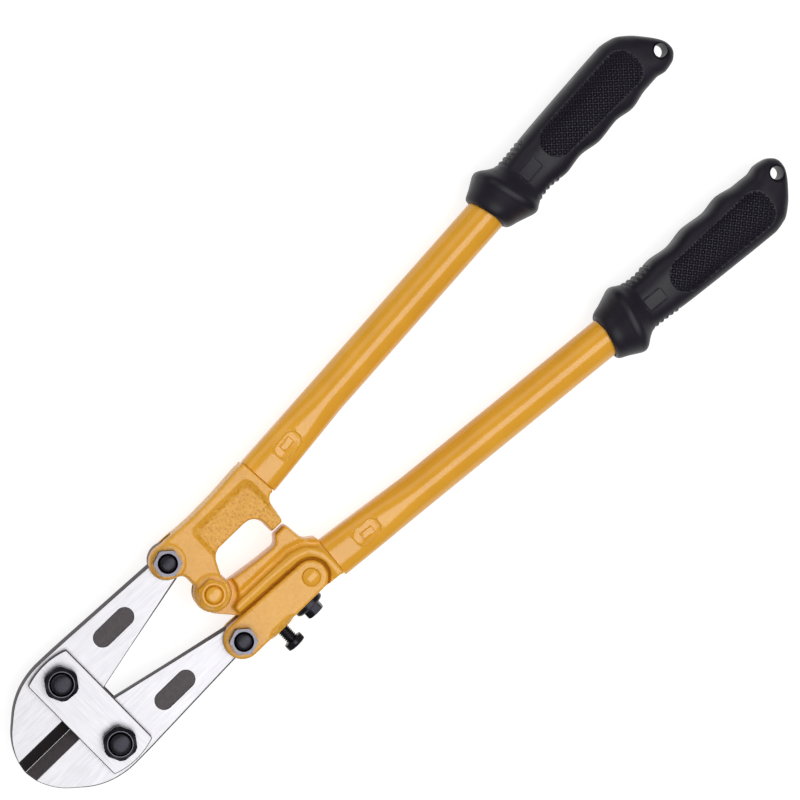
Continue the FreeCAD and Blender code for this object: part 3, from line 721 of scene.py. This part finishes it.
def adjusting_screw():
    """Hexagon screw with a rolled thread; the profile is turned about an axis along x."""
    angles = np.linspace(0, 2 * math.pi, 96, endpoint=False)
    pitch, depth, radius = 1.0, 0.62, 3.0
    rings = []
    for x in np.arange(SCREW_TIP_X, SCREW_HEAD_X, 0.09):
        phase = x / pitch - angles / (2 * math.pi)
        groove = np.abs(phase - np.round(phase)) * 2
        lead = 0.8 + 0.2 * smoothstep(SCREW_TIP_X, SCREW_TIP_X + 0.7, np.array(x))
        r = (radius - depth * (1 - smoothstep(0.15, 0.8, groove))) * lead
        rings.append(turned_ring(x, r, angles))
    hexagon = hexagon_limit(angles, SCREW_FLATS)
    for x, limit in ((0.0, 3.2), (0.0, 4.5), (0.25, 5.0), (0.7, 5.2), (2.6, 5.2), (3.1, 4.95), (3.4, 4.6),
                     (3.55, 4.1), (3.6, 3.4), (3.5, 2.9), (3.45, 1.0)):
        rings.append(turned_ring(SCREW_HEAD_X + x, np.minimum(hexagon, limit), angles))
    rings = np.array(rings) + [0, SCREW_Y, 0]
    obj = ring_mesh("adjusting_screw_threaded", rings * MM + ORIGIN, OXIDE)
    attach(obj, "adjusting_screw")
    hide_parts("adjusting_screw")


def turned_ring(x, radius, angles):
    return np.stack([np.full_like(angles, x), radius * np.cos(angles), radius * np.sin(angles)], -1)


# ---- CAD nodes that stay, with their finishes ----
def dress(node, material):
    obj = frame["nodes"][node]
    obj.data.materials.clear()
    obj.data.materials.append(material)
    obj.data.shade_smooth()
    obj.data.set_sharp_from_angle(angle=math.radians(30))


for node in ("left_blade", "right_blade"):
    dress(node, BLADE_STEEL)
for node in ("front_side_plate", "rear_side_plate"):
    dress(node, PLATE_STEEL)
dress("lock_screw", OXIDE)
dress("link_rivet", TUBE_PAINT)

grip("left_grip_moulding", LEFT_HANDLE, "left_grip", "left_handle")
grip("right_grip_moulding", RIGHT_HANDLE, "right_grip", "right_handle")
tube("left_tube_pressed", LEFT_HANDLE, "left_tube", "left_handle")
tube("right_tube_pressed", RIGHT_HANDLE, "right_tube", "right_handle")
casting("left_fork_casting", "left_handle_casting", "left_handle", CAST_PAINT, recess_relief, 0.5, 1.2,
        fork_parting, [LEFT_PIN, CENTRE_PIN])
casting("right_tongue_casting", "right_handle_casting", "right_handle", SMOOTH_CAST_PAINT, ridge_relief,
        0.4, 1.1, tongue_parting, [CENTRE_PIN, RIVET])
casting("link_forging", "adjusting_link", "adjusting_link", CAST_PAINT, shoulder_relief, 0.15, 0.9,
        link_parting, [RIGHT_PIN, RIVET])
adjusting_screw()
for x in (-PLATE_PIN, PLATE_PIN):
    fastener(("plate_nuts", "plate_bolts"), "head", (x, 0.0), PLATE_OUT, PLATE_SIZE,
             (PLATE_NUT_OXIDE, OXIDE))
fastener(("left_blade_nut", "left_blade_bolt"), "left_handle", LEFT_PIN, BOSS_OUT, BLADE_SIZE,
         (NUT_OXIDE, OXIDE))
fastener(("right_blade_nut", "right_blade_bolt"), "adjusting_link", RIGHT_PIN, CHEEK_OUT, BLADE_SIZE,
         (NUT_OXIDE, OXIDE))
fastener(("centre_pivot_nut", "centre_pivot_bolt"), "left_handle", CENTRE_PIN, BOSS_OUT, CENTRE_SIZE,
         (TUBE_PAINT, TUBE_PAINT))


# ---- floor, light, camera ----
def studio():
    bpy.ops.mesh.primitive_plane_add(size=6, location=(0, 0, -0.0002))
    floor = bpy.context.object
    floor.name = "floor"
    g = Graph("floor")
    white = g.mix(g.noise(3, 2), colour(0.34, 0.34, 0.34), colour(0.36, 0.36, 0.36))
    floor.data.materials.append(g.finish(Base_Color=white, Roughness=0.9, Emission_Color=colour(1, 1, 1),
                                         Emission_Strength=FLOOR_GLOW))
    world = bpy.data.worlds.new("studio")
    bpy.context.scene.world = world
    world.use_nodes = True
    world.node_tree.nodes["Background"].inputs[0].default_value = colour(1.0, 1.0, 1.0)
    world.node_tree.nodes["Background"].inputs[1].default_value = SKY
    lamp("softbox", (0.25, 0.10, 1.25), (0, 0, 0), (0.70, 1.5), SOFTBOX_RADIANCE)
    lamp("fill", (-0.84, 0.10, 0.93), (0, 0.1, 0), (0.60, 1.5), FILL_RADIANCE)
    bpy.context.scene.view_settings.view_transform = "Standard"


def axes_matrix(place, across, up, back):
    """An object's matrix from its place and its own three axes."""
    return Matrix.Translation(place) @ Matrix((across, up, back)).transposed().to_4x4()


def lamp(name, place, aim, size, brightness):
    """A rectangular light; size is across and along the tool, brightness the radiance of its face."""
    light = bpy.data.lights.new(name, "AREA")
    light.shape = "RECTANGLE"
    light.size, light.size_y = size
    light.energy = brightness * math.pi * size[0] * size[1]
    obj = bpy.data.objects.new(name, light)
    back = (Vector(place) - Vector(aim)).normalized()
    across = Vector((0, 1, 0)).cross(back).normalized()
    obj.matrix_world = axes_matrix(place, across, back.cross(across), back)
    bpy.context.scene.collection.objects.link(obj)


def camera():
    """Looks down on the tool from its left, turned so that the handles point up and to the right."""
    place = Vector((-175.66, 95.99, 1413.3)) * MM + Vector(ORIGIN)
    aim = Vector((-2.95, 205.62, 0.0)) * MM + Vector(ORIGIN)
    roll = math.radians(44.153)
    back = (place - aim).normalized()
    along = Vector((0, 1, 0)) - back * back.y
    along.normalize()
    side = along.cross(back)
    right = along * math.cos(roll) + side * math.sin(roll)
    up = back.cross(right)
    data = bpy.data.cameras.new("camera")
    data.sensor_width = 36.0
    data.lens = 135.93
    data.clip_end = 10
    obj = bpy.data.objects.new("camera", data)
    obj.matrix_world = axes_matrix(place, right, up, back)
    bpy.context.scene.collection.objects.link(obj)
    bpy.context.scene.camera = obj


studio()
camera()
